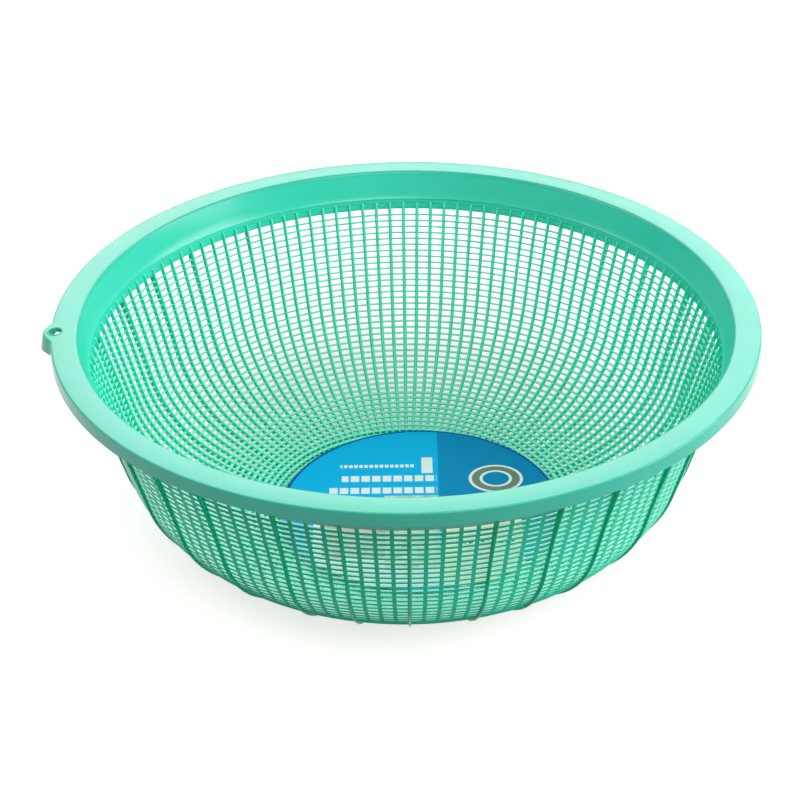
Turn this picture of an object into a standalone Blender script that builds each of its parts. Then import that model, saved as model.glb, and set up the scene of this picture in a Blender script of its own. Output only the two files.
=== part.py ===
"""A round moulded colander basket (zaru) with an open mesh wall, outer fins and a foot ring.

Metres, +Z up. The origin is on the basket's axis, on the plane that its foot ring rests on.

The wall is described once, by a meridian: a straight cone under the rim, a tight belly arc, a
wide base arc and a flat centre. Every layer of the mesh is that meridian moved along its normal,
from the inside out: ribs, then hoops, then fins. The layers keep a small clearance.
"""

import math
from itertools import pairwise

import bmesh
import bpy
from mathutils import Vector

# Rim: a crowned flange with a turned-down skirt
RIM_RADIUS = 0.190
FLANGE_WIDTH = 0.0150
FLANGE_THICKNESS = 0.0018
FLANGE_CROWN = 0.0009
RIM_EDGE_RADIUS = 0.0014
SKIRT_DEPTH = 0.0078
SKIRT_THICKNESS = 0.0016

# Meridian of the wall, from the rim's plane inwards; angles are measured from the vertical
WALL_LEAN = math.radians(15.6)
CONE_LENGTH = 0.0740
BELLY_ARC_RADIUS = 0.0710
BELLY_END_ANGLE = math.radians(64.8)
FLAT_RADIUS = 0.0493
FLAT_ANGLE = math.radians(90)
BELLY_STEPS = 3
BASE_STEPS = 2

# Solid band between the rim and the mesh, with a small ledge inside
BAND_THICKNESS = 0.0018
UPPER_BAND_LENGTH = 0.0168
LEDGE_RUN = 0.0006
LOWER_BAND_LENGTH = 0.0063

# Mesh: ribs inside, hoops round them, fins outside
FINS = 30
RIBS_PER_FIN = 2
RIBS = FINS * RIBS_PER_FIN
FIRST_FIN_BEARING = math.radians(-90)
WALL_HOOPS = 13
BASE_HOOPS = 11
HOOP_END_SHARE = 0.5
RIB_WIDTH = 0.0016
RIB_DEPTH = 0.0013
RIB_PROUD = 0.0008
HOOP_WIDTH = 0.0017
HOOP_DEPTH = 0.0011
FIN_WIDTH = 0.0013
FIN_DEPTH = 0.0012
CLEARANCE = 0.0003

# Base: the ring round it, the ring where every second rib ends, the hub, and the foot outside
BASE_HEIGHT = 0.0042
BASE_RING_WIDTH = 0.0030
HUB_RADIUS = 0.0250
FIN_RING_WIDTH = 0.0014
FOOT_RADIUS = 0.0850
FOOT_WIDTH = 0.0032
FOOT_DRAFT = 0.0006

# Hanging eyelet, let into the rim
EYELET_BEARING = math.radians(185)
EYELET_INSET = 0.0028
EYELET_TOP_RADIUS = 0.0072
EYELET_FOOT_RADIUS = 0.0088
EYELET_DEPTH = 0.0088
EYELET_HOLE_RADIUS = 0.0034
EYELET_LIP_WIDTH = 0.0012
EYELET_LIP_HEIGHT = 0.0006
EYELET_EDGE_RADIUS = 0.0006

# Loose label disc on the base, a little off the centre
LABEL_RADIUS = 0.0793
LABEL_THICKNESS = 0.0005
LABEL_SHIFT_X = 0.0073
LABEL_SHIFT_Y = -0.0027

# Facets of the round pieces
RIM_FACETS = 60
EYELET_FACETS = 20
LABEL_FACETS = 48
CROWN_STEPS = 3
EDGE_STEPS = 2
SHARP_ANGLE = math.radians(30)
CUTTER_OVERRUN = 0.0020

# Offsets of the layers from the meridian, outwards
RIB_OUTER = RIB_DEPTH - RIB_PROUD
HOOP_INNER = RIB_OUTER + CLEARANCE
HOOP_OUTER = HOOP_INNER + HOOP_DEPTH
FIN_INNER = HOOP_OUTER + CLEARANCE
FIN_OUTER = FIN_INNER + FIN_DEPTH

# Radius of the rim's inner edge, which stands flush over the band
FLANGE_INNER_RADIUS = RIM_RADIUS - FLANGE_WIDTH

# Lengths down the wall from the rim's plane
BAND_LENGTH = UPPER_BAND_LENGTH + LEDGE_RUN + LOWER_BAND_LENGTH
RIBS_START = BAND_LENGTH + LEDGE_RUN

# Colours as seen, in the 0 to 1 range
MINT_LIGHT = (0.50, 0.88, 0.77)
MINT = (0.20, 0.80, 0.65)
MINT_DEEP = (0.08, 0.68, 0.52)
LABEL_BLUE = (0.00, 0.62, 0.86)


def bend(start, arc_radius, from_angle, to_angle, steps):
    """Points of a meridian arc that turns from one lean to another, without its start."""
    points = []
    for step in range(1, steps + 1):
        angle = from_angle + (to_angle - from_angle) * step / steps
        inwards = arc_radius * (math.cos(from_angle) - math.cos(angle))
        down = arc_radius * (math.sin(angle) - math.sin(from_angle))
        points.append((start[0] - inwards, start[1] - down))
    return points


def meridian():
    """Corner points (radius, height over the flat base) of the meridian, from rim to axis."""
    mouth = FLANGE_INNER_RADIUS + FLANGE_THICKNESS * math.tan(WALL_LEAN)
    cone_end = (mouth - CONE_LENGTH * math.sin(WALL_LEAN), -CONE_LENGTH * math.cos(WALL_LEAN))
    points = [(mouth, 0.0), cone_end]
    points += bend(cone_end, BELLY_ARC_RADIUS, WALL_LEAN, BELLY_END_ANGLE, BELLY_STEPS)
    run = points[-1][0] - FLAT_RADIUS
    base_arc_radius = run / (math.cos(BELLY_END_ANGLE) - math.cos(FLAT_ANGLE))
    points += bend(points[-1], base_arc_radius, BELLY_END_ANGLE, FLAT_ANGLE, BASE_STEPS)
    base = points[-1][1]
    points.append((0.0, base))
    return [Vector((r, z - base)) for r, z in points]


WALL = meridian()
MOUTH_HEIGHT = WALL[0].y
LENGTHS = [0.0]
for wall_start, wall_end in pairwise(WALL):
    LENGTHS.append(LENGTHS[-1] + (wall_end - wall_start).length)
BASE_START = LENGTHS[1 + BELLY_STEPS]
FLAT_START = LENGTHS[-2]
HUB_START = LENGTHS[-1] - HUB_RADIUS

# Heights over the plane that the foot ring rests on
RIM_HEIGHT = BASE_HEIGHT + MOUTH_HEIGHT
FLANGE_UNDERSIDE = RIM_HEIGHT - FLANGE_THICKNESS


def outward(start, end):
    """Unit normal of a stretch of the meridian, pointing out of the basket."""
    along = (end - start).normalized()
    return Vector((-along.y, along.x))


def moved_wall(offset):
    """The meridian's corners moved outwards by an offset, each stretch staying parallel."""
    normals = [outward(start, end) for start, end in pairwise(WALL)]
    normals = [normals[0], *normals, normals[-1]]
    moved = []
    for corner, before, after in zip(WALL, normals, normals[1:], strict=False):
        mitre = (before + after) / (1 + before.dot(after))
        moved.append(corner + mitre * offset)
    return moved


def wall_point(length, offset):
    """(radius, height) at a length along the meridian from the mouth, moved outwards."""
    corners = moved_wall(offset)
    index = max(i for i, start in enumerate(LENGTHS[:-1]) if start <= length)
    share = (length - LENGTHS[index]) / (LENGTHS[index + 1] - LENGTHS[index])
    point = corners[index].lerp(corners[index + 1], share)
    return point.x, point.y + BASE_HEIGHT


def cone_point(height, offset):
    """(radius, height) on the straight cone under the rim, at a height over the floor."""
    drop = RIM_HEIGHT - height
    radius = WALL[0].x - drop * math.tan(WALL_LEAN) + offset / math.cos(WALL_LEAN)
    return radius, height


def length_at_radius(radius):
    """Length along the meridian from the mouth at which it has this radius."""
    for index, (start, end) in enumerate(pairwise(WALL)):
        if end.x <= radius:
            share = (start.x - radius) / (start.x - end.x)
            return LENGTHS[index] + share * (LENGTHS[index + 1] - LENGTHS[index])
    return LENGTHS[-1]


FOOT_START = length_at_radius(FOOT_RADIUS)


def corners_between(start, end):
    """Lengths of the meridian's corners that lie between two lengths."""
    return [length for length in LENGTHS if start < length < end]


def linear(colour):
    """An sRGB colour as the linear RGBA that a shader takes."""
    return (*(((c + 0.055) / 1.055) ** 2.4 if c > 0.04045 else c / 12.92 for c in colour), 1.0)


def plastic(name, colour, roughness):
    material = bpy.data.materials.new(name)
    material.use_nodes = True
    shader = material.node_tree.nodes["Principled BSDF"]
    shader.inputs["Base Color"].default_value = linear(colour)
    shader.inputs["Roughness"].default_value = roughness
    shader.inputs["Metallic"].default_value = 0.0
    return material


def place(name, mesh_data, material, parent, location=(0.0, 0.0, 0.0)):
    """A named object of a finished bmesh, parented to the basket's empty."""
    bmesh.ops.recalc_face_normals(mesh_data, faces=mesh_data.faces)
    mesh = bpy.data.meshes.new(name)
    mesh_data.to_mesh(mesh)
    mesh_data.free()
    mesh.shade_smooth()
    mesh.set_sharp_from_angle(angle=SHARP_ANGLE)
    mesh.materials.append(material)
    obj = bpy.data.objects.new(name, mesh)
    bpy.context.scene.collection.objects.link(obj)
    obj.parent = parent
    obj.location = location
    return obj


def revolve(section, facets, turn=0.0):
    """A closed ring: a closed section of (radius, height) points, spun round the Z axis."""
    work = bmesh.new()
    cos, sin = math.cos(turn), math.sin(turn)
    loop = [work.verts.new((r * cos, r * sin, z)) for r, z in section]
    edges = [work.edges.new(pair) for pair in pairwise([*loop, loop[0]])]
    bmesh.ops.spin(
        work,
        geom=[*loop, *edges],
        cent=(0.0, 0.0, 0.0),
        axis=(0.0, 0.0, 1.0),
        angle=math.tau,
        steps=facets,
        use_merge=True,
    )
    return work


def arc(centre, radius, start, end, steps):
    """Points of an arc in the (radius, height) plane, both ends included."""
    angles = [start + (end - start) * step / steps for step in range(steps + 1)]
    return [(centre[0] + radius * math.cos(a), centre[1] + radius * math.sin(a)) for a in angles]


class Lattice:
    """Bars and rings cut from a turned shell: rows along the meridian, two columns a bar."""

    def __init__(self, rows, bars, bar_width):
        self.rows = rows
        self.bars = bars
        self.columns = 2 * bars
        self.solid = set()
        self.work = bmesh.new()
        self.skins = [[self.row_verts(row, side, bar_width) for row in rows] for side in (0, 1)]

    def row_verts(self, row, side, bar_width):
        """Vertices of one row on one skin, where bar edges stay bar_width apart."""
        radius, height = row[side]
        half = math.asin(bar_width / 2 / radius)
        verts = []
        for bar in range(self.bars):
            middle = FIRST_FIN_BEARING + math.tau * bar / self.bars
            for angle in (middle - half, middle + half):
                place_at = (radius * math.cos(angle), radius * math.sin(angle), height)
                verts.append(self.work.verts.new(place_at))
        return verts

    def fill_ring(self, first, last):
        """Solid all round between two rows."""
        for row in range(first, last):
            self.solid |= {(row, column) for column in range(self.columns)}

    def fill_bars(self, first, last, every=1):
        """Solid between two rows along every bar, or along every so many bars."""
        for row in range(first, last):
            self.solid |= {(row, 2 * bar) for bar in range(0, self.bars, every)}

    def corners(self, row, column):
        """Corner indices (row, column) of a cell, in order round it."""
        across = (column + 1) % self.columns
        return [(row, column), (row, across), (row + 1, across), (row + 1, column)]

    def neighbours(self, row, column):
        """The cells past each side of a cell, in the order of its corners."""
        before = (column - 1) % self.columns
        after = (column + 1) % self.columns
        return [(row - 1, column), (row, after), (row + 1, column), (row, before)]

    def mesh(self, hub=False):
        """Both skins of the solid cells, with a wall round every opening."""
        inner, outer = self.skins
        for cell in sorted(self.solid):
            corners = self.corners(*cell)
            for skin in (inner, outer):
                self.work.faces.new([skin[row][column] for row, column in corners])
            for side, beyond in enumerate(self.neighbours(*cell)):
                if beyond in self.solid or (hub and beyond[0] == len(self.rows) - 1):
                    continue
                (row_a, col_a), (row_b, col_b) = corners[side], corners[(side + 1) % 4]
                wall = inner[row_a][col_a], inner[row_b][col_b], outer[row_b][col_b], outer[row_a][col_a]
                self.work.faces.new(wall)
        if hub:
            self.close_hub()
        loose = [vert for vert in self.work.verts if not vert.link_faces]
        bmesh.ops.delete(self.work, geom=loose, context="VERTS")
        return self.work

    def close_hub(self):
        """A disc inside the last row, walled where no bar meets it."""
        inner, outer = (skin[-1] for skin in self.skins)
        self.work.faces.new(inner)
        self.work.faces.new(outer)
        last = len(self.rows) - 2
        for column in range(self.columns):
            if (last, column) not in self.solid:
                after = (column + 1) % self.columns
                self.work.faces.new((inner[column], inner[after], outer[after], outer[column]))


def build_rim(material, parent):
    """Crowned flange, rounded outer edge and skirt, with a pocket for the eyelet."""
    edge_centre = (RIM_RADIUS - RIM_EDGE_RADIUS, RIM_HEIGHT - RIM_EDGE_RADIUS)
    crown_width = edge_centre[0] - FLANGE_INNER_RADIUS
    crown = []
    for step in range(CROWN_STEPS):
        share = step / CROWN_STEPS
        rise = FLANGE_CROWN * math.sin(math.pi * share)
        crown.append((FLANGE_INNER_RADIUS + crown_width * share, RIM_HEIGHT + rise))
    edge = arc(edge_centre, RIM_EDGE_RADIUS, math.pi / 2, 0.0, EDGE_STEPS)
    skirt_foot = RIM_HEIGHT - SKIRT_DEPTH
    skirt = [
        (RIM_RADIUS, skirt_foot),
        (RIM_RADIUS - SKIRT_THICKNESS, skirt_foot),
        (RIM_RADIUS - SKIRT_THICKNESS, FLANGE_UNDERSIDE),
        (FLANGE_INNER_RADIUS, FLANGE_UNDERSIDE),
    ]
    section = revolve([*crown, *edge, *skirt], RIM_FACETS)
    rim = place("rim_flange_and_skirt", section, material, parent)
    cut = rim.modifiers.new("eyelet_pocket", "BOOLEAN")
    cut.operation = "DIFFERENCE"
    cut.solver = "EXACT"
    cut.object = build_pocket_cutter(parent)
    return rim


def eyelet_place():
    reach = RIM_RADIUS - EYELET_INSET
    return reach * math.cos(EYELET_BEARING), reach * math.sin(EYELET_BEARING), RIM_HEIGHT


def build_pocket_cutter(parent):
    """The eyelet's cone grown by the clearance, which runs past both faces of the rim."""
    flare = (EYELET_FOOT_RADIUS - EYELET_TOP_RADIUS) / EYELET_DEPTH
    top = FLANGE_CROWN + CUTTER_OVERRUN
    foot = -EYELET_DEPTH - CUTTER_OVERRUN
    work = bmesh.new()
    bmesh.ops.create_cone(
        work,
        cap_ends=True,
        segments=EYELET_FACETS,
        radius1=EYELET_TOP_RADIUS + CLEARANCE - flare * foot,
        radius2=EYELET_TOP_RADIUS + CLEARANCE - flare * top,
        depth=top - foot,
    )
    bmesh.ops.translate(work, verts=work.verts, vec=(0.0, 0.0, (top + foot) / 2))
    cutter = place("eyelet_pocket_cutter", work, plastic("cutter", MINT, 0.5), parent, eyelet_place())
    cutter.hide_render = True
    cutter.display_type = "WIRE"
    return cutter


def build_eyelet(material, parent):
    """A flared cap, a little deeper than the skirt and hollow below, with a lip round its hole."""
    lip_radius = EYELET_HOLE_RADIUS + EYELET_LIP_WIDTH
    section = [
        (EYELET_HOLE_RADIUS, EYELET_LIP_HEIGHT),
        (lip_radius - EYELET_EDGE_RADIUS, EYELET_LIP_HEIGHT),
        (lip_radius, 0.0),
        (EYELET_TOP_RADIUS - EYELET_EDGE_RADIUS, 0.0),
        (EYELET_TOP_RADIUS, -EYELET_EDGE_RADIUS),
        (EYELET_FOOT_RADIUS, -EYELET_DEPTH),
        (EYELET_FOOT_RADIUS - SKIRT_THICKNESS, -EYELET_DEPTH),
        (EYELET_TOP_RADIUS - SKIRT_THICKNESS, -FLANGE_THICKNESS),
        (EYELET_HOLE_RADIUS, -FLANGE_THICKNESS),
    ]
    return place("hanging_eyelet", revolve(section, EYELET_FACETS), material, parent, eyelet_place())


def rib_rows(lengths):
    """Lattice rows at lengths along the meridian, as deep as a rib."""
    return [(wall_point(length, -RIB_PROUD), wall_point(length, RIB_OUTER)) for length in lengths]


def build_wall_cage(material, parent):
    """The solid band with every rib hanging from it, down to the ring round the base."""
    top = FLANGE_UNDERSIDE - CLEARANCE
    ledge_end = UPPER_BAND_LENGTH + LEDGE_RUN
    ribs_end = BASE_START - CLEARANCE
    rows = [(cone_point(top, 0.0), cone_point(top, BAND_THICKNESS))]
    for length, inner in (
        (UPPER_BAND_LENGTH, 0.0),
        (ledge_end, -RIB_PROUD),
        (BAND_LENGTH, -RIB_PROUD),
    ):
        rows.append((wall_point(length, inner), wall_point(length, BAND_THICKNESS)))
    band_end = len(rows)
    rows += rib_rows([RIBS_START, *corners_between(RIBS_START, ribs_end), ribs_end])
    cage = Lattice(rows, RIBS, RIB_WIDTH)
    cage.fill_ring(0, band_end)
    cage.fill_bars(band_end, len(rows) - 1)
    return place("wall_rib_cage", cage.mesh(), material, parent)


def build_base_grid(material, parent):
    """The ring round the base, its ribs, the ring where every second one ends, and the hub."""
    outer_ring_end = BASE_START + BASE_RING_WIDTH
    curve = corners_between(outer_ring_end, FLAT_START)
    inner_ring = 2 + len(curve)
    lengths = [BASE_START, outer_ring_end, *curve]
    lengths += [FLAT_START, FLAT_START + BASE_RING_WIDTH, HUB_START]
    grid = Lattice(rib_rows(lengths), RIBS, RIB_WIDTH)
    grid.fill_ring(0, 1)
    grid.fill_bars(1, inner_ring)
    grid.fill_ring(inner_ring, inner_ring + 1)
    grid.fill_bars(inner_ring + 1, inner_ring + 2, every=RIBS_PER_FIN)
    return place("base_grid", grid.mesh(hub=True), material, parent)


def hoop_lengths():
    """Lengths of the hoops, evenly spaced over the wall's ribs and then over the base's."""
    wall_pitch = (BASE_START - RIBS_START) / (WALL_HOOPS + HOOP_END_SHARE)
    base_pitch = (HUB_START - BASE_START) / (BASE_HOOPS + HOOP_END_SHARE)
    on_wall = [RIBS_START + wall_pitch * number for number in range(1, WALL_HOOPS + 1)]
    on_base = [HUB_START - base_pitch * number for number in range(BASE_HOOPS, 0, -1)]
    return on_wall + on_base


def build_hoop(number, length, material, parent):
    """One hoop: a ridge-shaped ring round the ribs, with a facet for each fin.

    Its corners are a quarter of a facet away from the ribs, so that each rib and each fin
    meets the facets at the same radius.
    """
    half_facet = math.pi / FINS
    corner_share = math.cos(half_facet / 2) / math.cos(half_facet)
    section = [
        wall_point(length - HOOP_WIDTH / 2, HOOP_INNER),
        wall_point(length, HOOP_OUTER),
        wall_point(length + HOOP_WIDTH / 2, HOOP_INNER),
    ]
    section = [(radius * corner_share, height) for radius, height in section]
    ring = revolve(section, FINS, turn=FIRST_FIN_BEARING + half_facet / 2)
    return place(f"hoop_{number:02d}", ring, material, parent)


def build_fins(material, parent):
    """Outer fins from under the flange down to the thin ring that joins them beside the foot."""
    top = FLANGE_UNDERSIDE - CLEARANCE
    ring_end = FOOT_START - CLEARANCE
    ring_start = ring_end - FIN_RING_WIDTH
    rows = [(cone_point(top, FIN_INNER), cone_point(top, FIN_OUTER))]
    for length in [*corners_between(0.0, ring_start), ring_start, ring_end]:
        rows.append((wall_point(length, FIN_INNER), wall_point(length, FIN_OUTER)))
    cage = Lattice(rows, FINS, FIN_WIDTH)
    cage.fill_bars(0, len(rows) - 2)
    cage.fill_ring(len(rows) - 2, len(rows) - 1)
    return place("fins", cage.mesh(), material, parent)


def build_foot_ring(material, parent):
    """The ring that the basket stands on, drafted down to its flat underside.

    Its facets are those of the fins' ring, so that the two stay parallel.
    """
    foot_end = FOOT_START + FOOT_WIDTH
    outer_edge = wall_point(FOOT_START, FIN_OUTER)[0] - FOOT_DRAFT
    inner_edge = outer_edge - FOOT_WIDTH + FOOT_DRAFT
    rows = [
        (wall_point(FOOT_START, FIN_INNER), wall_point(FOOT_START, FIN_OUTER)),
        (wall_point(FOOT_START + FOOT_DRAFT, FIN_INNER), (outer_edge, 0.0)),
        (wall_point(foot_end - FOOT_DRAFT, FIN_INNER), (inner_edge, 0.0)),
        (wall_point(foot_end, FIN_INNER), wall_point(foot_end, FIN_OUTER)),
    ]
    foot = Lattice(rows, FINS, FIN_WIDTH)
    foot.fill_ring(0, len(rows) - 1)
    return place("foot_ring", foot.mesh(), material, parent)


def build_label(material, parent):
    """A thin disc that lies on the ribs where the base curves up to meet its edge."""
    reach = LABEL_RADIUS + math.hypot(LABEL_SHIFT_X, LABEL_SHIFT_Y)
    seat = wall_point(length_at_radius(reach), -RIB_PROUD)[1] + CLEARANCE
    work = bmesh.new()
    bmesh.ops.create_circle(work, cap_ends=True, segments=LABEL_FACETS, radius=LABEL_RADIUS)
    lifted = bmesh.ops.extrude_face_region(work, geom=work.faces[:])
    top = [item for item in lifted["geom"] if isinstance(item, bmesh.types.BMVert)]
    bmesh.ops.translate(work, verts=top, vec=(0.0, 0.0, LABEL_THICKNESS))
    return place("label_disc", work, material, parent, (LABEL_SHIFT_X, LABEL_SHIFT_Y, seat))


def build_basket():
    basket = bpy.data.objects.new("zaru_basket", None)
    bpy.context.scene.collection.objects.link(basket)
    build_rim(plastic("rim_plastic", MINT_LIGHT, 0.32), basket)
    build_eyelet(plastic("eyelet_plastic", MINT_LIGHT, 0.32), basket)
    build_wall_cage(plastic("rib_plastic", MINT, 0.36), basket)
    build_base_grid(plastic("base_plastic", MINT, 0.36), basket)
    hoop_plastic = plastic("hoop_plastic", MINT, 0.36)
    for number, length in enumerate(hoop_lengths(), start=1):
        build_hoop(number, length, hoop_plastic, basket)
    build_fins(plastic("fin_plastic", MINT_DEEP, 0.36), basket)
    build_foot_ring(plastic("foot_plastic", MINT_DEEP, 0.36), basket)
    build_label(plastic("label_paper", LABEL_BLUE, 0.45), basket)


for old in list(bpy.data.objects):
    bpy.data.objects.remove(old, do_unlink=True)
build_basket()
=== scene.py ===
"""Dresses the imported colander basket: mesh wall, rim, eyelet, fins, foot, label, lights and camera.

Sizes are in metres. The wall is described by lengths down its meridian from the rim's plane, and by
offsets along its outward normal, as in the CAD model.
"""

import math

import bmesh
import bpy
import numpy as np
from mathutils import Matrix, Vector


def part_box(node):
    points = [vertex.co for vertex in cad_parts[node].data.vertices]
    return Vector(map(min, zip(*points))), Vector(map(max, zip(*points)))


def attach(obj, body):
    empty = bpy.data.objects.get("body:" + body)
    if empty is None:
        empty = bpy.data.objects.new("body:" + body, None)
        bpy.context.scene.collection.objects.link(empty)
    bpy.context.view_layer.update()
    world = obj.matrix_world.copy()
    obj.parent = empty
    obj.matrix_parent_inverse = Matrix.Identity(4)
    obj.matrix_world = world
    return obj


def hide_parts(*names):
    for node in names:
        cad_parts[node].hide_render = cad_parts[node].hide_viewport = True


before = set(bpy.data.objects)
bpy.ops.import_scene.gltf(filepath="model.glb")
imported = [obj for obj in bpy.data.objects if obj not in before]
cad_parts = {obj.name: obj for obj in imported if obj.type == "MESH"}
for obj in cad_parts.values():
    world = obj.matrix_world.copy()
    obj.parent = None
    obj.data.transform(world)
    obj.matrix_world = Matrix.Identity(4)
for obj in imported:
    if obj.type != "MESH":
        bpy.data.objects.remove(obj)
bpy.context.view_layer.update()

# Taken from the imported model, whose ribs start a clearance below the flange
FLANGE_THICKNESS = 0.0018
CLEARANCE = 0.0003
RIM_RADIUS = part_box("rim_flange_and_skirt")[1].x
RIM_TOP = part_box("wall_rib_cage")[1].z + CLEARANCE + FLANGE_THICKNESS
SKIRT_DEPTH = RIM_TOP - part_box("rim_flange_and_skirt")[0].z
LABEL_LOW, LABEL_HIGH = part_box("label_disc")
LABEL_MIDDLE = (LABEL_LOW + LABEL_HIGH) / 2
LABEL_RADIUS = (LABEL_HIGH.x - LABEL_LOW.x) / 2
BODY = "root"

# Shared by several parts. Ribs and fins run an overlap into the part that they end in.
SMALL_ROUND = 0.0004
OVERLAP = 0.0010
SHARP_ANGLE = math.radians(35)
MESH_SHARP_ANGLE = math.radians(60)

# Meridian of the wall
FLANGE_WIDTH = 0.0150
WALL_LEAN = math.radians(15.6)
CONE_LENGTH = 0.0740
BELLY_ARC_RADIUS = 0.0710
BELLY_END_ANGLE = math.radians(64.8)
FLAT_RADIUS = 0.0493
BASE_HEIGHT = 0.0042

# Rim and the solid band under it
FLANGE_CROWN = 0.00022
FLANGE_EDGE_RADIUS = 0.0008
FLANGE_INNER_ROUND = 0.0020
FLANGE_STEPS = 9
SKIRT_THICKNESS = 0.0016
SKIRT_FLARE = 0.0004
SKIRT_BREAK = 0.4
BAND_THICKNESS = 0.0018
LEDGE_START = 0.0168
BAND_FOOT = 0.0233
RIM_FACETS = 260

# Eyelet: a bump in the rim's outline with an upright hole. The part of the flange outside the
# ramp's width moves with the bump. The closer bearings run past the bump by the margin's factor.
EYELET_BEARING = math.radians(185.2)
EYELET_HALF_WIDTH = 0.0106
EYELET_FOOT_HALF_WIDTH = 0.0122
EYELET_REACH = 0.0042
EYELET_FLARE = 0.0013
EYELET_DROP = 0.0010
EYELET_SHOULDER_POWER = 1.35
EYELET_RAMP_WIDTH = 0.0085
EYELET_RAMP_POWER = 1.5
EYELET_HOLE_INSET = 0.0029
EYELET_HOLE_RADIUS = 0.0034
EYELET_LIP_WIDTH = 0.0011
EYELET_LIP_HEIGHT = 0.0006
EYELET_LIP_BELOW = 0.0003
LIP_INNER_ROUND = (0.0003, 0.0004)
LIP_OUTER_ROUND = (0.0004, 0.0005)
EYELET_MARGIN = 1.1
EYELET_GAP = 1.05
EYELET_STEPS = 34
EYELET_FACETS = 40
DRILL_BELOW, DRILL_ABOVE = 0.0060, 0.0040

# Ribs, which grow to their full height over their first steps and narrow towards the hub
RIBS = 128
FIRST_RIB_BEARING = math.radians(-90)
RIBS_START = 0.0194
RIB_FIRST_STEPS = ((-0.0004, 0.1), (0.0003, 0.75))
RIB_FULL_HEIGHT_AFTER = 0.0012
RIB_AXIS_WIDTH = 0.35
RIB_FULL_WIDTH_RADIUS = 0.070
MESH_OUTER = 0.0013

# Hoops: those up to the transition are on the wall, the others on the base
HOOP_START = 0.02675
HOOP_PITCH = 0.003735
TRANSITION_HOOP = 31
LAST_HOOP = 54
HOOP_INSET = 0.0001
HOOP_TOP_REACH = 0.0014
HOOP_LOW_REACH = 0.0022
HOOP_TOP_HEIGHT = 0.0008
HOOP_LOW_HEIGHT = 0.0005
HOOP_DROP = 0.0006
BASE_HOOP_INSET = 0.0006
BASE_HOOP_REACH = 0.0020
BASE_HOOP_HEIGHT = 0.0010
HOOP_EDGE = 0.0002

# Middle of the base: a ring where every second rib ends, and the hub
BASE_RISE = 0.0009
RIB_RING_RADIUS = 0.0490
RIB_RING_HALF_WIDTH = 0.0015
HUB_RADIUS = 0.0250
HUB_FACETS = 96

# Fins: 3 to every 13 ribs, and one more at the back. They have extra stations where they taper.
RIBS_PER_THREE_FINS = 13
FIN_PHASE = 0.4
FIRST_FIN, LAST_FIN = -14, 14
BACK_FIN_RIB = 64
FIN_INNER = 0.0008
FIN_OUTER = 0.0027
FIN_TOP_OUTER = 0.0062
FIN_TAPER_LENGTH = 0.0600
FIN_HALF_WIDTH = 0.0006
FIN_START = 0.0060
FIN_EXTRA_STATIONS = 5
FIN_EXTRA_PITCH = 0.0090
FIN_IN_FLANGE = 0.0004

# Foot and label
FOOT_RADIUS = 0.0850
FOOT_WIDTH = 0.0032
FOOT_DRAFT = 0.0006
FOOT_INNER = 0.0006
LABEL_FACETS = 128


def arc_run(point, lean, radius, run):
    """Point and lean after a run along an arc of the meridian that starts at a point with a lean."""
    end = lean + run / radius
    inwards = radius * (math.cos(lean) - math.cos(end))
    down = radius * (math.sin(end) - math.sin(lean))
    return (point[0] - inwards, point[1] - down), end


MOUTH_RADIUS = RIM_RADIUS - FLANGE_WIDTH + FLANGE_THICKNESS * math.tan(WALL_LEAN)
BELLY_LENGTH = BELLY_ARC_RADIUS * (BELLY_END_ANGLE - WALL_LEAN)
CONE_END = (
    MOUTH_RADIUS - CONE_LENGTH * math.sin(WALL_LEAN),
    RIM_TOP - CONE_LENGTH * math.cos(WALL_LEAN),
)
BELLY_END = arc_run(CONE_END, WALL_LEAN, BELLY_ARC_RADIUS, BELLY_LENGTH)[0]
BASE_ARC_RADIUS = (BELLY_END[0] - FLAT_RADIUS) / math.cos(BELLY_END_ANGLE)
BASE_LENGTH = BASE_ARC_RADIUS * (math.pi / 2 - BELLY_END_ANGLE)
BASE_START = CONE_LENGTH + BELLY_LENGTH
FLAT_START = BASE_START + BASE_LENGTH
WALL_LENGTH = FLAT_START + FLAT_RADIUS

# Stretches of the meridian, each with the step that its curve needs
STRETCHES = (
    (0.0, CONE_LENGTH, 0.0200),
    (CONE_LENGTH, BASE_START, 0.0025),
    (BASE_START, FLAT_START, 0.0060),
    (FLAT_START, WALL_LENGTH, 0.0300),
)
STATION_GAP = 0.0005
HALVINGS = 40


def meridian(length):
    """Radius, height and lean from the vertical of the wall at a length from the mouth."""
    run = min(length, CONE_LENGTH)
    point = (MOUTH_RADIUS - run * math.sin(WALL_LEAN), RIM_TOP - run * math.cos(WALL_LEAN))
    lean = WALL_LEAN
    passed = CONE_LENGTH
    for radius, total in ((BELLY_ARC_RADIUS, BELLY_LENGTH), (BASE_ARC_RADIUS, BASE_LENGTH)):
        point, lean = arc_run(point, lean, radius, min(max(length - passed, 0.0), total))
        passed += total
    return point[0] - max(length - passed, 0.0), point[1], lean


def wall_point(length, offset):
    """(radius, height) at a length along the meridian, moved outwards by an offset."""
    radius, height, lean = meridian(length)
    return radius + offset * math.cos(lean), height - offset * math.sin(lean)


def cone_point(drop, offset):
    """(radius, height) on the straight cone at a drop below the rim's plane."""
    radius = MOUTH_RADIUS - drop * math.tan(WALL_LEAN) + offset / math.cos(WALL_LEAN)
    return radius, RIM_TOP - drop


def length_at_radius(radius):
    """Length along the meridian at which it has this radius, by halving."""
    low, high = 0.0, WALL_LENGTH
    for _ in range(HALVINGS):
        middle = (low + high) / 2
        low, high = (middle, high) if meridian(middle)[0] > radius else (low, middle)
    return low


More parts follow.
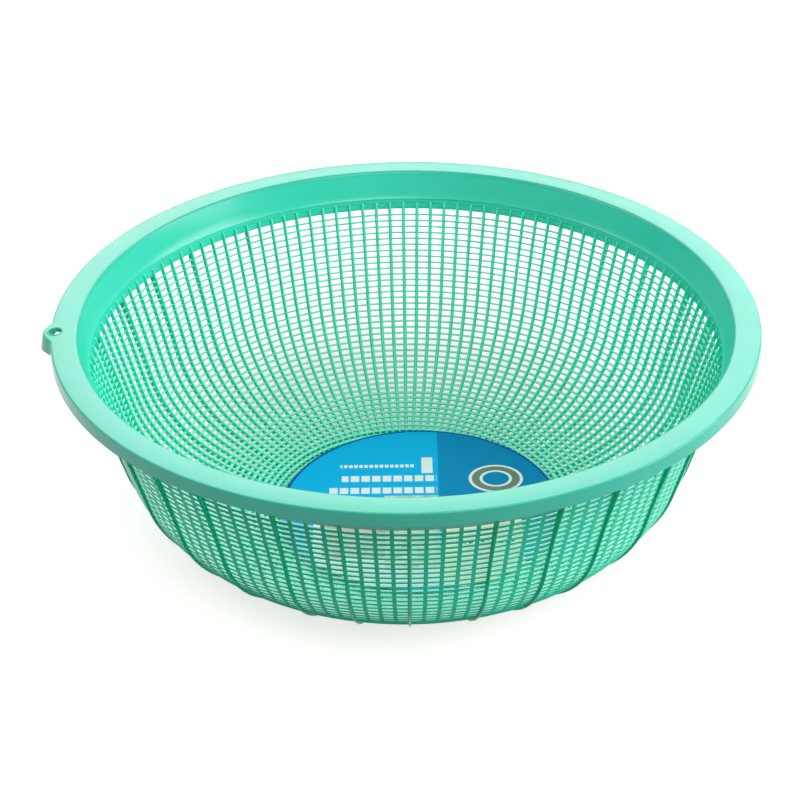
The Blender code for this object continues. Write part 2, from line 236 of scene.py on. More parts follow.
def stations(start, end):
    """Lengths between two ends that follow the curve closely and a straight stretch loosely."""
    lengths = []
    for low, high, step in STRETCHES:
        count = round((high - low) / step)
        lengths += [low + (high - low) * i / count for i in range(count + 1)]
    inside = [length for length in lengths if start + STATION_GAP < length < end - STATION_GAP]
    return sorted({round(length, 6) for length in [start, end, *inside]})


def rib_bearing(index):
    """Bearing of a rib, counted anticlockwise from the one at the front, seen from above."""
    return FIRST_RIB_BEARING + math.tau * index / RIBS


RIB_BEARINGS = np.array([rib_bearing(index) for index in range(RIBS)])


def tube_faces(rows, columns, ring):
    """Quads of rows of closed sections, joined end to end or capped."""
    grid = np.arange(rows * columns).reshape(rows, columns)
    after = np.roll(grid, -1, axis=0) if ring else grid[1:]
    here = grid if ring else grid[:-1]
    corners = [here, np.roll(here, -1, axis=1), np.roll(after, -1, axis=1), after]
    faces = np.stack(corners, axis=-1).reshape(-1, 4).tolist()
    if not ring:
        faces += [grid[0].tolist(), grid[-1].tolist()]
    return faces


def ring_block(section, bearings):
    """A closed section of (radius, height) points spun round the Z axis."""
    section = np.array(section)
    rows = np.zeros((len(bearings), len(section), 3))
    rows[..., 0] = np.cos(bearings)[:, None] * section[:, 0]
    rows[..., 1] = np.sin(bearings)[:, None] * section[:, 0]
    rows[..., 2] = section[:, 1]
    return rows, tube_faces(*rows.shape[:2], ring=True)


def disc_block(levels, facets):
    """A round disc of (radius, height) levels from below to above."""
    bearings = np.linspace(0, math.tau, facets, endpoint=False)
    rows = np.zeros((len(levels), facets, 3))
    for row, (radius, height) in zip(rows, levels, strict=True):
        row[:, 0], row[:, 1], row[:, 2] = radius * np.cos(bearings), radius * np.sin(bearings), height
    return rows, tube_faces(*rows.shape[:2], ring=False)


def bar_rows(lengths, sections, widths):
    """A bar along the wall: for each length a section of (across, offset) points and its width."""
    rows = np.zeros((len(lengths), len(sections[0]), 3))
    for row, length, section, width in zip(rows, lengths, sections, widths, strict=True):
        for point, (across, offset) in zip(row, section, strict=True):
            radius, height = wall_point(length, offset)
            point[:] = radius, across * width, height
    return rows


def bar_blocks(rows, ribs):
    """One bar's rows, turned about the Z axis to the bearings of these ribs."""
    points = rows.reshape(-1, 3)
    faces = tube_faces(*rows.shape[:2], ring=False)
    blocks = []
    for rib in ribs:
        cos, sin = math.cos(rib_bearing(rib)), math.sin(rib_bearing(rib))
        turn = np.array([[cos, sin, 0.0], [-sin, cos, 0.0], [0.0, 0.0, 1.0]])
        blocks.append((points @ turn, faces))
    return blocks


def add_object(name, data):
    """A new object in the scene's own collection."""
    obj = bpy.data.objects.new(name, data)
    bpy.context.scene.collection.objects.link(obj)
    return obj


def shade(mesh, sharp_angle):
    """Smooth shading, apart from edges sharper than an angle."""
    mesh.shade_smooth()
    mesh.set_sharp_from_angle(angle=sharp_angle)


def piece(name, blocks, replaces, sharp_angle=SHARP_ANGLE):
    """One object of several closed blocks, each of (points, faces)."""
    verts, faces, start = [], [], 0
    for points, block_faces in blocks:
        points = points.reshape(-1, 3)
        verts.append(points)
        faces += [[index + start for index in face] for face in block_faces]
        start += len(points)
    mesh = bpy.data.meshes.new(name)
    mesh.from_pydata(np.concatenate(verts).tolist(), [], faces)
    work = bmesh.new()
    work.from_mesh(mesh)
    bmesh.ops.recalc_face_normals(work, faces=work.faces)
    work.to_mesh(mesh)
    work.free()
    shade(mesh, sharp_angle)
    obj = add_object(name, mesh)
    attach(obj, BODY)
    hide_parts(*replaces)
    return obj


def arc(centre, radius, start, end, steps):
    """Points of an arc in the (radius, height) plane, both ends included, angles in degrees."""
    angles = [math.radians(start + (end - start) * step / steps) for step in range(steps + 1)]
    return [(centre[0] + radius * math.cos(a), centre[1] + radius * math.sin(a)) for a in angles]


# (length, offset) down the band's inner face, which swells into a ledge and lies back behind the
# ribs, and round its foot to the outside
BAND_PROFILE = (
    (LEDGE_START - 0.0055, 0.0),
    (LEDGE_START - 0.0028, -0.0001),
    (LEDGE_START - 0.0010, -0.00035),
    (LEDGE_START - 0.0003, -0.0006),
    (LEDGE_START, -0.0007),
    (LEDGE_START + 0.0002, -0.00055),
    (LEDGE_START + 0.0003, -0.0001),
    (RIBS_START - 0.0003, -0.0001),
    (RIBS_START, 0.0),
    (RIBS_START + 0.0002, 0.0005),
    (BAND_FOOT - 0.0003, 0.0005),
    (BAND_FOOT, 0.0007),
    (BAND_FOOT, BAND_THICKNESS - 0.0003),
    (BAND_FOOT - 0.0003, BAND_THICKNESS),
)


def rim_section():
    """Skirt, edge, crowned flange, inner round, band with its ledge, and back along the outside."""
    skirt_foot = RIM_TOP - SKIRT_DEPTH
    edge = (RIM_RADIUS - SKIRT_FLARE - FLANGE_EDGE_RADIUS, RIM_TOP - FLANGE_EDGE_RADIUS)
    inner = (cone_point(FLANGE_INNER_ROUND, FLANGE_INNER_ROUND)[0], RIM_TOP - FLANGE_INNER_ROUND)
    points = [
        (RIM_RADIUS - SKIRT_THICKNESS, skirt_foot + SMALL_ROUND),
        (RIM_RADIUS - SKIRT_THICKNESS + SMALL_ROUND, skirt_foot),
        (RIM_RADIUS - SMALL_ROUND, skirt_foot),
        (RIM_RADIUS, skirt_foot + SMALL_ROUND),
        (RIM_RADIUS - SKIRT_FLARE * SKIRT_BREAK, skirt_foot + SKIRT_DEPTH * SKIRT_BREAK),
    ]
    points += arc(edge, FLANGE_EDGE_RADIUS, 0, 90, steps=5)
    for step in range(1, FLANGE_STEPS):
        share = step / FLANGE_STEPS
        rise = FLANGE_CROWN * math.sin(math.pi * share)
        points.append((edge[0] + (inner[0] - edge[0]) * share, RIM_TOP + rise))
    points += arc(inner, FLANGE_INNER_ROUND, 90, 180 - math.degrees(WALL_LEAN), steps=6)
    points += [wall_point(length, offset) for length, offset in BAND_PROFILE]
    points.append(cone_point(FLANGE_THICKNESS, BAND_THICKNESS))
    points.append((RIM_RADIUS - SKIRT_THICKNESS - SKIRT_FLARE, RIM_TOP - FLANGE_THICKNESS))
    return points


def from_eyelet(bearings):
    """Angles between these bearings and the eyelet's."""
    return np.abs((bearings - EYELET_BEARING + math.pi) % math.tau - math.pi)


def rim_bearings():
    """Even bearings, with closer ones through the eyelet."""
    reach = EYELET_FOOT_HALF_WIDTH / RIM_RADIUS * EYELET_MARGIN
    even = EYELET_BEARING + np.linspace(0, math.tau, RIM_FACETS, endpoint=False)
    kept = even[from_eyelet(even) > reach * EYELET_GAP]
    close = EYELET_BEARING + np.linspace(-reach, reach, EYELET_STEPS)
    return np.sort(np.concatenate([kept, close + math.tau]) % math.tau)


def bump_at(bearings, half_width):
    """Height of the eyelet's bump in the rim's outline, 0 to 1, by bearing."""
    share = np.clip(from_eyelet(bearings) * RIM_RADIUS / half_width, 0.0, 1.0)
    return (1 - share**2) ** EYELET_SHOULDER_POWER


def bulge(rows, bearings):
    """Pushes the rim's outer part out into the bump, which flares and drops down the skirt."""
    radius = np.hypot(rows[..., 0], rows[..., 1])
    start = RIM_RADIUS - EYELET_RAMP_WIDTH
    ramp = np.clip((radius - start) / (RIM_RADIUS - SKIRT_THICKNESS - SKIRT_FLARE - start), 0, 1)
    drop = np.clip((RIM_TOP - rows[..., 2]) / SKIRT_DEPTH, 0, 1)
    widths = EYELET_HALF_WIDTH + (EYELET_FOOT_HALF_WIDTH - EYELET_HALF_WIDTH) * drop
    bump = bump_at(bearings[:, None], widths) * ramp**EYELET_RAMP_POWER
    push = bump * (EYELET_REACH + EYELET_FLARE * drop)
    rows[..., 0] *= 1 + push / radius
    rows[..., 1] *= 1 + push / radius
    rows[..., 2] -= EYELET_DROP * np.sqrt(bump) * drop


def eyelet_centre():
    """Middle of the hanging hole, in the plane of X and Y."""
    reach = RIM_RADIUS - EYELET_HOLE_INSET
    return np.array([reach * math.cos(EYELET_BEARING), reach * math.sin(EYELET_BEARING), 0.0])


def apply_modifiers(obj):
    """Leaves the evaluated mesh on the object, with no modifier."""
    graph = bpy.context.evaluated_depsgraph_get()
    mesh = bpy.data.meshes.new_from_object(obj.evaluated_get(graph))
    obj.modifiers.clear()
    obj.data = mesh


def drill_hole(rim):
    """Cuts the hanging hole as far as the middle of the lip's own wall."""
    bore = EYELET_HOLE_RADIUS + EYELET_LIP_WIDTH / 2
    levels = [(bore, RIM_TOP - DRILL_BELOW), (bore, RIM_TOP + DRILL_ABOVE)]
    rows, faces = disc_block(levels, EYELET_FACETS)
    mesh = bpy.data.meshes.new("drill")
    mesh.from_pydata((rows.reshape(-1, 3) + eyelet_centre()).tolist(), [], faces)
    drill = add_object("drill", mesh)
    cut = rim.modifiers.new("hole", "BOOLEAN")
    cut.operation = "DIFFERENCE"
    cut.solver = "EXACT"
    cut.object = drill
    apply_modifiers(rim)
    bpy.data.objects.remove(drill, do_unlink=True)
    shade(rim.data, SHARP_ANGLE)


def build_rim():
    """The rim and band in one turned shell, bulged at the eyelet and drilled for its hole."""
    bearings = rim_bearings()
    rows, faces = ring_block(rim_section(), bearings)
    bulge(rows, bearings)
    rim = piece("rim_and_band", [(rows, faces)], ["rim_flange_and_skirt"])
    drill_hole(rim)
    return rim


def build_eyelet():
    """The lip round the hanging hole, as deep as the flange and a little raised."""
    inner, outer = EYELET_HOLE_RADIUS, EYELET_HOLE_RADIUS + EYELET_LIP_WIDTH
    foot = RIM_TOP - FLANGE_THICKNESS - EYELET_LIP_BELOW
    lip = RIM_TOP + EYELET_LIP_HEIGHT
    section = [
        (inner, foot),
        (inner, lip - LIP_INNER_ROUND[1]),
        (inner + LIP_INNER_ROUND[0], lip),
        (outer - LIP_OUTER_ROUND[0], lip),
        (outer, lip - LIP_OUTER_ROUND[1]),
        (outer, foot),
    ]
    rows, faces = ring_block(section, np.linspace(0, math.tau, EYELET_FACETS, endpoint=False))
    rows += eyelet_centre()
    return piece("eyelet_lip", [(rows, faces)], ["hanging_eyelet"])


# (across, offset) of a rib, which is narrow inside the wall and wide outside it
RIB_SECTION = (
    (-0.00020, -0.00068),
    (0.00020, -0.00068),
    (0.00042, -0.00058),
    (0.00054, -0.00034),
    (0.00108, 0.00090),
    (0.00096, MESH_OUTER),
    (-0.00096, MESH_OUTER),
    (-0.00108, 0.00090),
    (-0.00054, -0.00034),
    (-0.00042, -0.00058),
)


def rib_section(rise):
    """A rib's section with this share of its height inside the wall."""
    return [(across, offset if offset > 0 else offset * rise) for across, offset in RIB_SECTION]


def rib_width(length):
    """Share of its full width that a rib has at a length."""
    share = RIB_AXIS_WIDTH + (1 - RIB_AXIS_WIDTH) * meridian(length)[0] / RIB_FULL_WIDTH_RADIUS
    return min(1.0, share)


def build_ribs():
    """Every rib from the band to the base, where every second one runs on to the hub."""
    first = [RIBS_START + step for step, _ in RIB_FIRST_STEPS]
    rises = [rise for _, rise in RIB_FIRST_STEPS]
    blocks = []
    for parity, end_radius in ((0, HUB_RADIUS), (1, RIB_RING_RADIUS)):
        end = length_at_radius(end_radius - OVERLAP)
        rest = stations(RIBS_START + RIB_FULL_HEIGHT_AFTER, end)
        lengths = [*first, *rest]
        sections = [rib_section(rise) for rise in [*rises, *[1.0] * len(rest)]]
        rows = bar_rows(lengths, sections, [rib_width(length) for length in lengths])
        blocks += bar_blocks(rows, range(parity, RIBS, 2))
    return piece("mesh_ribs", blocks, ["wall_rib_cage"], MESH_SHARP_ANGLE)


def hoop_section(number):
    """A hoop has a level top, as its mould draws straight up, and an upright inner face.

    On the wall it stays below the ribs' inner faces. Down the wall it reaches further out and gets
    thinner, and high up its outer face is the deeper one. On the base it is flush with the ribs.
    """
    on_base = number > TRANSITION_HOOP
    length = HOOP_START + (number - 1) * HOOP_PITCH
    radius, height = wall_point(length, -(BASE_HOOP_INSET if on_base else HOOP_INSET))
    reach, depth, drop = BASE_HOOP_REACH, BASE_HOOP_HEIGHT, 0.0
    if not on_base:
        down = (number - 1) / (TRANSITION_HOOP - 1)
        reach = HOOP_TOP_REACH + (HOOP_LOW_REACH - HOOP_TOP_REACH) * down**2
        depth = HOOP_TOP_HEIGHT + (HOOP_LOW_HEIGHT - HOOP_TOP_HEIGHT) * down
        drop = HOOP_DROP * (1 - down)
    corners = (
        (HOOP_EDGE, 0.0),
        (reach, 0.0),
        (reach, -depth - drop),
        (HOOP_EDGE, -depth),
        (0.0, HOOP_EDGE - depth),
        (0.0, -HOOP_EDGE),
    )
    return [(radius + out, height + up) for out, up in corners]


def build_hoops():
    """All hoops in one piece, with a corner at every rib."""
    blocks = [ring_block(hoop_section(number), RIB_BEARINGS) for number in range(1, LAST_HOOP + 1)]
    hoops = [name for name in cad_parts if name.startswith("hoop_")]
    return piece("mesh_hoops", blocks, hoops, MESH_SHARP_ANGLE)


def build_base():
    """The hub and the ring where every second rib ends."""
    low, high = BASE_HEIGHT - MESH_OUTER, BASE_HEIGHT + BASE_RISE
    hub = [
        (HUB_RADIUS - SMALL_ROUND, low),
        (HUB_RADIUS, low + SMALL_ROUND),
        (HUB_RADIUS, high - SMALL_ROUND),
        (HUB_RADIUS - SMALL_ROUND, high),
    ]
    middle, half = length_at_radius(RIB_RING_RADIUS), RIB_RING_HALF_WIDTH
    corners = ((-half, -BASE_RISE), (half, -BASE_RISE), (half, MESH_OUTER), (-half, MESH_OUTER))
    ring = [wall_point(middle + along, offset) for along, offset in corners]
    blocks = [disc_block(hub, HUB_FACETS), ring_block(ring, RIB_BEARINGS)]
    return piece("base_hub_and_ring", blocks, ["base_grid"])


def fin_section(length):
    """A fin stands out most under the rim and thins out to an even depth down the wall."""
    half = FIN_HALF_WIDTH
    left = max(0.0, 1 - length / FIN_TAPER_LENGTH)
    outer = FIN_OUTER + (FIN_TOP_OUTER - FIN_OUTER) * left**2
    return (
        (-half, FIN_INNER),
        (half, FIN_INNER),
        (half, outer - SMALL_ROUND),
        (half - SMALL_ROUND, outer),
        (SMALL_ROUND - half, outer),
        (-half, outer - SMALL_ROUND),
    )


def fin_rows():
    """One fin from inside the flange's plate down the wall to inside the foot."""
    extra = [FIN_START + FIN_EXTRA_PITCH * step for step in range(1, FIN_EXTRA_STATIONS + 1)]
    lengths = sorted({*stations(FIN_START, length_at_radius(FOOT_RADIUS - OVERLAP)), *extra})
    rows = bar_rows(lengths, [fin_section(length) for length in lengths], [1.0] * len(lengths))
    section = fin_section(0.0)
    top = np.zeros((1, len(section), 3))
    for point, (across, offset) in zip(top[0], section, strict=True):
        radius, height = cone_point(FLANGE_THICKNESS - FIN_IN_FLANGE, offset)
        point[:] = radius, across, height
    return np.concatenate([top, rows])


def build_fins():
    """Each fin stands behind the rib that is nearest to its place."""
    fins = range(FIRST_FIN, LAST_FIN + 1)
    ribs = [round(fin * RIBS_PER_THREE_FINS / 3 + FIN_PHASE) for fin in fins]
    return piece("fins", bar_blocks(fin_rows(), [*ribs, BACK_FIN_RIB]), ["fins"])


def build_foot():
    """The foot ring under the base, with rounded lower edges."""
    start = length_at_radius(FOOT_RADIUS)
    end = start + FOOT_WIDTH
    outer = wall_point(start, FIN_OUTER)[0]
    inner = outer - FOOT_WIDTH
    section = [
        wall_point(start, FOOT_INNER),
        (outer, wall_point(start, FIN_OUTER)[1]),
        (outer - FOOT_DRAFT, SMALL_ROUND),
        (outer - FOOT_DRAFT - SMALL_ROUND, 0.0),
        (inner + FOOT_DRAFT + SMALL_ROUND, 0.0),
        (inner + FOOT_DRAFT, SMALL_ROUND),
        (inner, wall_point(end, FIN_OUTER)[1]),
        wall_point(end, FOOT_INNER),
    ]
    return piece("foot", [ring_block(section, RIB_BEARINGS)], ["foot_ring"])


def build_label():
    """The printed disc that lies on the base."""
    levels = [(LABEL_RADIUS, LABEL_LOW.z), (LABEL_RADIUS, LABEL_HIGH.z)]
    rows, faces = disc_block(levels, LABEL_FACETS)
    rows += np.array([LABEL_MIDDLE.x, LABEL_MIDDLE.y, 0.0])
    return piece("label", [(rows, faces)], ["label_disc"])


def linear(r, g, b):
    """An sRGB colour of 0 to 255 as linear RGBA."""
    shares = [channel / 255 for channel in (r, g, b)]
    return (*(((c + 0.055) / 1.055) ** 2.4 if c > 0.04045 else c / 12.92 for c in shares), 1.0)


# Pairs of colours are the deep and the light one of a faint cloud
RIM_COLOURS = linear(32, 199, 169), linear(44, 205, 177)
# Painted light for the band inside the rim
PAINTED_BAND_LIGHT_COLOURS = linear(46, 225, 192), linear(60, 230, 201)
MESH_COLOURS = linear(24, 228, 186), linear(38, 234, 196)
FIN_COLOURS = linear(10, 204, 158), linear(16, 212, 168)
# Painted highlight for faces that look upwards
HOOP_TOP = linear(165, 250, 230)
# Painted light for the ribs' inner faces
PAINTED_RIB_FACE_LIGHT = linear(112, 248, 216)

# Noises: scale per metre and detail
CLOUD = 22.0, 3.0
GLOSS = 180.0, 3.0
GRAIN = 1400.0, 2.0
CARD_BLOTCHES = 130.0, 3.0
CARD_GLOSS = 60.0, 2.0

GRAIN_STRENGTH = 0.06
GRAIN_DEPTH = 0.0002
PLASTIC_IOR = 1.49
# Depth below the rim over which the band's painted light comes in
BAND_FADE_DEPTH = 0.0025

# The printed card
CARD_CYAN, CARD_BLUE, CARD_EDGE = linear(0, 184, 242), linear(0, 142, 198), linear(0, 100, 168)
CARD_WHITE, CARD_CREAM = linear(240, 248, 250), linear(248, 245, 208)
CARD_TEXT, CARD_RING = linear(70, 90, 80), linear(120, 140, 120)
CARD_GREENS = linear(150, 190, 150), linear(240, 246, 230)
CARD_MEAL = linear(150, 165, 150), linear(226, 190, 180)
CARD_DIVIDE = 0.0183
CARD_SPECULAR = 0.03

# The floor. Painted shadow: its glow is lower inside the near radius round a point under the basket,
# behind its middle, which darkens it there on top of its real shadow
FLOOR_REACH = 3.0
FLOOR_SEEN = (0.54, 0.54, 0.54, 1.0)
FLOOR_UNSEEN = (0.30, 0.30, 0.30, 1.0)
FLOOR_GLOW = (1.0, 0.97, 0.95, 1.0)
PAINTED_SHADOW_CENTRE = (0.0, 0.09, 0.0)
PAINTED_SHADOW_NEAR, PAINTED_SHADOW_FAR = 0.10, 0.27
PAINTED_SHADOW_LEVELS = 0.42, 1.0
WORLD_LEVELS = 0.08, 1.0

# Name, place, aim, size and power in watts of each lamp
LAMPS = (
    ("back", (0.10, 1.75, 1.38), (0.0, 0.0, 0.13), (1.9, 1.35), 26.0),
    ("front", (0.30, -0.90, 1.30), (0.0, 0.0, 0.08), (1.0, 1.0), 8.8),
    ("right", (1.53, -0.15, 0.78), (0.0, 0.0, 0.08), (1.2, 1.2), 19.5),
    ("left", (-1.20, 0.00, 1.15), (0.0, 0.0, 0.08), (1.0, 1.0), 6.5),
)

# The photograph's view, fitted to the rim, the rows of windows and the label
CAMERA_LENS = 91.30
CAMERA_SENSOR = 36.0
CAMERA_CLIP = 0.05, 20.0
CAMERA_PLACE = (-0.00358, -0.95366, RIM_TOP + 0.53512)
CAMERA_TILT = math.radians(58.21)
CAMERA_ROLL = -0.0128

# A noise seldom leaves this range
NOISE_RANGE = 0.3, 0.7
# Sockets of a colour Mix node, whose names repeat for each type of data
MIX_INPUTS, MIX_RESULT = (6, 7), 2


class Nodes:
    """Short calls for building one node tree. An item is a constant or another node's output."""

    def __init__(self, tree):
        self.tree = tree

    def add(self, kind, **settings):
        """A new node with these settings."""
        node = self.tree.nodes.new(kind)
        for key, value in settings.items():
            setattr(node, key, value)
        return node

    def feed(self, socket, item):
        """Sets an input to an item."""
        if isinstance(item, bpy.types.NodeSocket):
            self.tree.links.new(item, socket)
        else:
            socket.default_value = item

    def value(self, operation, *items):
        """A Math node's output."""
        node = self.add("ShaderNodeMath", operation=operation)
        for socket, item in zip(node.inputs, items, strict=False):
            self.feed(socket, item)
        return node.outputs[0]

    def vector(self, operation, *items):
        """A Vector Math node."""
        node = self.add("ShaderNodeVectorMath", operation=operation)
        for socket, item in zip(node.inputs, items, strict=False):
            self.feed(socket, item)
        return node

    def rise(self, value, start, gain):
        """0 up to a start value, then rising to 1."""
        above = self.value("MULTIPLY", self.value("SUBTRACT", value, start), gain)
        return self.value("MINIMUM", self.value("MAXIMUM", above, 0.0), 1.0)

    def hypotenuse(self, x, y):
        """Square root of the sum of two squares."""
        squares = [self.value("MULTIPLY", side, side) for side in (x, y)]
        return self.value("SQRT", self.value("ADD", *squares))

    def mix(self, factor, *colours):
        """The first colour where the factor is 0, the second where it is 1."""
        node = self.add("ShaderNodeMix", data_type="RGBA")
        self.feed(node.inputs["Factor"], factor)
        for index, colour in zip(MIX_INPUTS, colours, strict=True):
            self.feed(node.inputs[index], colour)
        return node.outputs[MIX_RESULT]

    def remap(self, value, from_low, from_high, low, high):
        """A range of values spread over another range."""
        node = self.add("ShaderNodeMapRange")
        self.feed(node.inputs["Value"], value)
        limits = {"From Min": from_low, "From Max": from_high, "To Min": low, "To Max": high}
        for name, limit in limits.items():
            node.inputs[name].default_value = limit
        return node.outputs["Result"]

    def place(self):
        """Where a point is, in its object's axes, which are the part's."""
        return self.add("ShaderNodeTexCoord").outputs["Object"]

    def normal(self):
        """The surface's normal."""
        return self.add("ShaderNodeNewGeometry").outputs["Normal"]

    def split(self, vector):
        """The X, Y and Z of a vector."""
        node = self.add("ShaderNodeSeparateXYZ")
        self.feed(node.inputs[0], vector)
        return tuple(node.outputs)

    def noise(self, scale, detail):
        """Noise in the object's axes."""
        node = self.add("ShaderNodeTexNoise")
        self.feed(node.inputs["Scale"], scale)
        self.feed(node.inputs["Detail"], detail)
        self.feed(node.inputs["Vector"], self.place())
        return node.outputs["Fac"]

    def clouds(self, noise, low, high):
        """A noise's (scale, detail), with its usual range spread from a low to a high value."""
        return self.remap(self.noise(*noise), *NOISE_RANGE, low, high)


class Surface(Nodes):
    """The node tree of a new material."""

    def __init__(self, name):
        self.material = bpy.data.materials.new(name)
        self.material.use_nodes = True
        super().__init__(self.material.node_tree)

    def shade(self, items):
        """Sets the shader's inputs, by their names."""
        shader = self.tree.nodes["Principled BSDF"]
        for name, item in items.items():
            self.feed(shader.inputs[name], item)


def cloudy(nodes, colours):
    """Faint large clouds of a deep and a light colour."""
    return nodes.mix(nodes.clouds(CLOUD, 0.0, 1.0), *colours)


def painted_light_on_level_tops(nodes, colour):
    """Painted highlight: faces that look upwards, the level tops of hoops and hub, are painted paler.
    """
    _, _, up = nodes.split(nodes.normal())
    return nodes.mix(nodes.rise(up, start=0.5, gain=2.5), colour, HOOP_TOP)


def painted_light_on_rib_faces(nodes, colour):
    """Painted light: the ribs' inner faces, which look inwards and up, are painted paler than their
    sides, which lie in the ribs' own shade.
    """
    level = nodes.vector("MULTIPLY", nodes.place(), (1.0, 1.0, 0.0)).outputs[0]
    outwards = nodes.vector("NORMALIZE", level).outputs[0]
    inwards = nodes.vector("SUBTRACT", (0.0, 0.0, 1.0), outwards).outputs[0]
    share = nodes.vector("DOT_PRODUCT", nodes.normal(), inwards).outputs["Value"]
    return nodes.mix(nodes.rise(share, start=0.7, gain=3.0), colour, PAINTED_RIB_FACE_LIGHT)


def painted_light_on_band(nodes, colour):
    """Painted light: the band inside the rim, below the flange, is painted in paler colours than the
    flange.
    """
    x, y, z = nodes.split(nodes.place())
    inside = nodes.value("LESS_THAN", nodes.hypotenuse(x, y), MOUTH_RADIUS)
    drop = nodes.value("SUBTRACT", RIM_TOP, z)
    below = nodes.rise(drop, start=0.0, gain=1 / BAND_FADE_DEPTH)
    return nodes.mix(nodes.value("MULTIPLY", inside, below), colour, cloudy(nodes, PAINTED_BAND_LIGHT_COLOURS))


def plastic(name, colours, gloss, specular, paint_light):
    """Glossy moulded plastic: faint cloudy colour, uneven gloss and a very fine grain, with painted
    light on top where it is given.
    """
    nodes = Surface(name)
    colour = cloudy(nodes, colours)
    grain = nodes.add("ShaderNodeBump")
    nodes.feed(grain.inputs["Strength"], GRAIN_STRENGTH)
    nodes.feed(grain.inputs["Distance"], GRAIN_DEPTH)
    nodes.feed(grain.inputs["Height"], nodes.noise(*GRAIN))
    nodes.shade({
        "Base Color": paint_light(nodes, colour) if paint_light else colour,
        "Roughness": nodes.clouds(GLOSS, *gloss),
        "Normal": grain.outputs["Normal"],
        "IOR": PLASTIC_IOR,
        "Specular IOR Level": specular,
    })
    return nodes.material


class Print(Surface):
    """A flat print in the plane of X and Y, with areas that are 1 inside and 0 outside."""

    def __init__(self, name):
        super().__init__(name)
        self.x, self.y, _ = self.split(self.place())

    def box(self, x_low, x_high, y_low, y_high):
        """An upright rectangle."""
        across = self.value("COMPARE", self.x, (x_low + x_high) / 2, (x_high - x_low) / 2)
        up = self.value("COMPARE", self.y, (y_low + y_high) / 2, (y_high - y_low) / 2)
        return self.value("MULTIPLY", across, up)

    def bars(self, pitch, share, *area):
        """A box broken into upright bars, which fill a share of their pitch."""
        phase = self.value("FRACT", self.value("DIVIDE", self.value("ADD", self.x, 1.0), pitch))
        return self.value("MULTIPLY", self.value("LESS_THAN", phase, share), self.box(*area))

    def reach(self, x, y, width, height):
        """Distance from a point in ellipses of this half width and half height."""
        across = self.value("DIVIDE", self.value("SUBTRACT", self.x, x), width)
        up = self.value("DIVIDE", self.value("SUBTRACT", self.y, y), height)
        return self.hypotenuse(across, up)


def print_areas(card):
    """The areas of the print and their colours, from the lowest layer up."""
    blotches = card.clouds(CARD_BLOTCHES, 0.0, 1.0)
    ring = card.reach(0.0515, 0.0240, 0.0150, 0.0135)
    from_middle = card.reach(LABEL_MIDDLE.x, LABEL_MIDDLE.y, LABEL_RADIUS, LABEL_RADIUS)
    edge = card.value("GREATER_THAN", from_middle, 0.98)
    far_edge = card.value("MULTIPLY", edge, card.value("GREATER_THAN", card.y, -0.0100))
    return (
        (card.box(-0.0530, 0.0175, -0.0800, 0.0040), CARD_WHITE),
        (card.box(-0.0130, 0.0175, -0.0620, 0.0075), card.mix(blotches, *CARD_GREENS)),
        (card.box(-0.0480, -0.0130, -0.0520, -0.0060), card.mix(blotches, *CARD_MEAL)),
        (card.box(0.0190, 0.0640, -0.0790, 0.0010), CARD_CREAM),
        (card.bars(0.0034, 0.6, 0.0230, 0.0590, -0.0400, -0.0375), CARD_TEXT),
        (card.box(0.0085, 0.0150, 0.0305, 0.0470), CARD_WHITE),
        (card.bars(0.0030, 0.7, -0.0390, 0.0050, 0.0368, 0.0398), CARD_WHITE),
        (card.bars(0.0062, 0.8, -0.0380, 0.0170, 0.0222, 0.0282), CARD_WHITE),
        (card.bars(0.0062, 0.8, -0.0450, 0.0170, 0.0100, 0.0160), CARD_WHITE),
        (card.value("COMPARE", ring, 0.78, 0.27), CARD_WHITE),
        (card.value("COMPARE", ring, 0.78, 0.15), CARD_RING),
        (far_edge, CARD_EDGE),
    )


def label_print():
    """Generic card: two blues, plain bars for text, a ring, and a soft picture on the near half."""
    card = Print("label_print")
    right = card.value("GREATER_THAN", card.x, CARD_DIVIDE)
    colour = card.mix(right, CARD_CYAN, CARD_BLUE)
    for area, fill in print_areas(card):
        colour = card.mix(area, colour, fill)
    card.shade({
        "Base Color": colour,
        "Roughness": card.clouds(CARD_GLOSS, 0.30, 0.42),
        "Specular IOR Level": CARD_SPECULAR,
    })
    return card.material


def seen_directly(nodes):
    """1 for camera, glossy and transmission rays, else 0."""
    rays = nodes.add("ShaderNodeLightPath").outputs
    mirrored = nodes.value("MAXIMUM", rays["Is Camera Ray"], rays["Is Glossy Ray"])
    return nodes.value("MAXIMUM", mirrored, rays["Is Transmission Ray"])


def floor_material():
    """A floor that glows nearly white where it is seen directly, and is grey for all other rays."""
    nodes = Surface("floor")
    seen = seen_directly(nodes)
    away = nodes.vector("DISTANCE", nodes.place(), PAINTED_SHADOW_CENTRE).outputs["Value"]
    # Painted shadow: the glow is lower near a point under the basket, behind its middle
    glow = nodes.remap(away, PAINTED_SHADOW_NEAR, PAINTED_SHADOW_FAR, *PAINTED_SHADOW_LEVELS)
    nodes.shade({
        "Base Color": nodes.mix(seen, FLOOR_UNSEEN, FLOOR_SEEN),
        "Roughness": 0.9,
        "Specular IOR Level": 0.0,
        "Emission Color": FLOOR_GLOW,
        "Emission Strength": nodes.value("MULTIPLY", seen, glow),
    })
    return nodes.material


def build_floor():
    """A square floor under the basket."""
    mesh = bpy.data.meshes.new("floor")
    corners = [(-1, -1), (1, -1), (1, 1), (-1, 1)]
    points = [(FLOOR_REACH * x, FLOOR_REACH * y, 0.0) for x, y in corners]
    mesh.from_pydata(points, [], [(0, 1, 2, 3)])
    floor = add_object("floor", mesh)
    mesh.materials.append(floor_material())


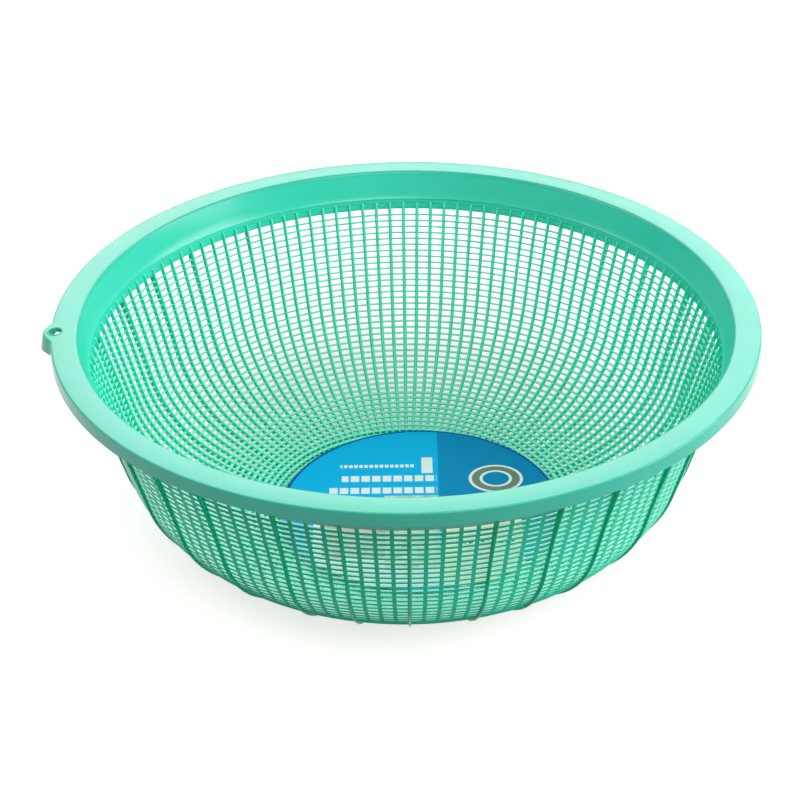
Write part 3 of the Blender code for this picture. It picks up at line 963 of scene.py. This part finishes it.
def build_world():
    """Faint even light, seen as pure white."""
    world = bpy.data.worlds.new("studio")
    bpy.context.scene.world = world
    world.use_nodes = True
    nodes = Nodes(world.node_tree)
    background = nodes.tree.nodes["Background"]
    nodes.feed(background.inputs["Color"], (1.0, 1.0, 1.0, 1.0))
    level = nodes.remap(seen_directly(nodes), 0.0, 1.0, *WORLD_LEVELS)
    nodes.feed(background.inputs["Strength"], level)


def softbox(name, place, aim, size, power):
    """A rectangular lamp that faces its aim."""
    light = bpy.data.lights.new(name, "AREA")
    light.shape = "RECTANGLE"
    light.size, light.size_y = size
    light.energy = power
    lamp = add_object(name, light)
    lamp.location = place
    lamp.rotation_euler = (Vector(aim) - Vector(place)).to_track_quat("-Z", "Y").to_euler()


def build_camera():
    """A camera that looks along +Y, tilted down and rolled a little."""
    data = bpy.data.cameras.new("camera")
    data.lens = CAMERA_LENS
    data.sensor_width = CAMERA_SENSOR
    data.clip_start, data.clip_end = CAMERA_CLIP
    camera = add_object("camera", data)
    tilt = Matrix.Rotation(CAMERA_TILT, 4, "X") @ Matrix.Rotation(CAMERA_ROLL, 4, "Z")
    camera.matrix_world = Matrix.Translation(CAMERA_PLACE) @ tilt
    bpy.context.scene.camera = camera


rim = build_rim()
eyelet = build_eyelet()
ribs = build_ribs()
hoops = build_hoops()
base = build_base()
fins = build_fins()
foot = build_foot()
label = build_label()

# Colours, range of roughness, specular level and painted light of each piece
for obj, colours, gloss, specular, paint_light in (
    (rim, RIM_COLOURS, (0.20, 0.26), 0.50, painted_light_on_band),
    (eyelet, RIM_COLOURS, (0.20, 0.26), 0.50, None),
    (ribs, MESH_COLOURS, (0.24, 0.32), 0.15, painted_light_on_rib_faces),
    (hoops, MESH_COLOURS, (0.24, 0.32), 0.25, painted_light_on_level_tops),
    (base, MESH_COLOURS, (0.26, 0.34), 0.25, painted_light_on_level_tops),
    (fins, FIN_COLOURS, (0.24, 0.32), 0.12, None),
    (foot, FIN_COLOURS, (0.28, 0.36), 0.20, None),
):
    obj.data.materials.append(plastic(f"{obj.name}_plastic", colours, gloss, specular, paint_light))
label.data.materials.append(label_print())

build_floor()
build_world()
for lamp in LAMPS:
    softbox(*lamp)
build_camera()

scene = bpy.context.scene
scene.view_settings.view_transform = "Standard"
